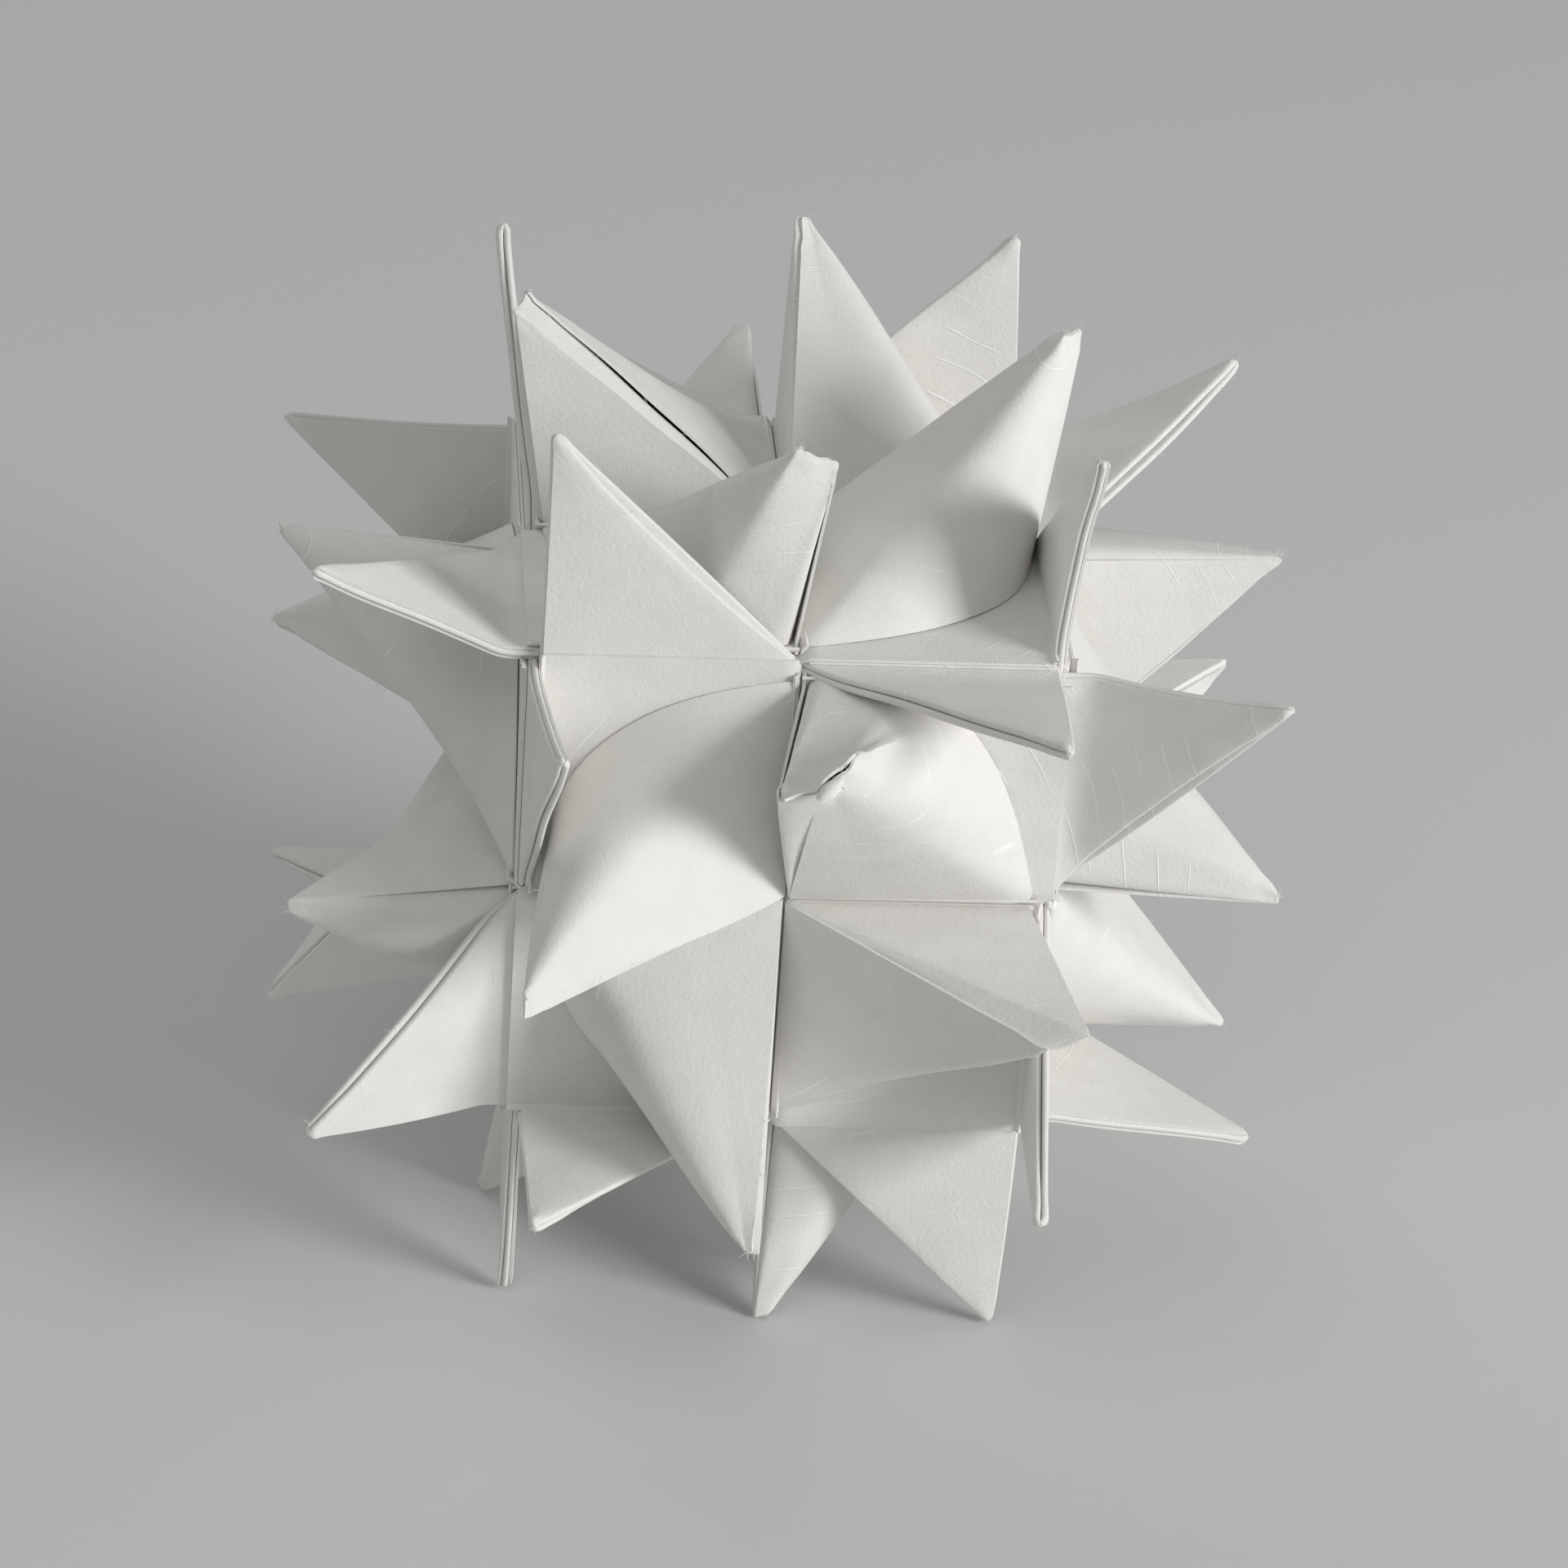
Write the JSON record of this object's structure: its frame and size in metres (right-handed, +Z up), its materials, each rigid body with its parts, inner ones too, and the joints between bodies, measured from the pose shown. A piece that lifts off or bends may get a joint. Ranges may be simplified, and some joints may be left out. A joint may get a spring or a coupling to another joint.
{
  "type": "woven paper star ornament",
  "caption": "Ball of plaited paper strips, its faces set all round with flat folded points and hollow curled cones, for hanging or standing as a decoration",
  "frame": {"origin": "centre of the ball", "axes": "+Z up, -Y to the face of the plaited cube that looks to the front in the picture, +X to its right"},
  "size_m": [0.06, 0.06, 0.06],
  "materials": {
    "white_paper": "matt uncoated paper"
  },
  "bodies": {
    "root": {"strip_front_left": "white_paper", "strip_front_right": "white_paper", "strip_back_left": "white_paper", "strip_back_right": "white_paper", "strip_top_front": "white_paper", "strip_top_back": "white_paper", "strip_bottom_front": "white_paper", "strip_bottom_back": "white_paper", "strip_left_top": "white_paper", "strip_left_bottom": "white_paper", "strip_right_top": "white_paper", "strip_right_bottom": "white_paper"}
  },
  "joints": []
}
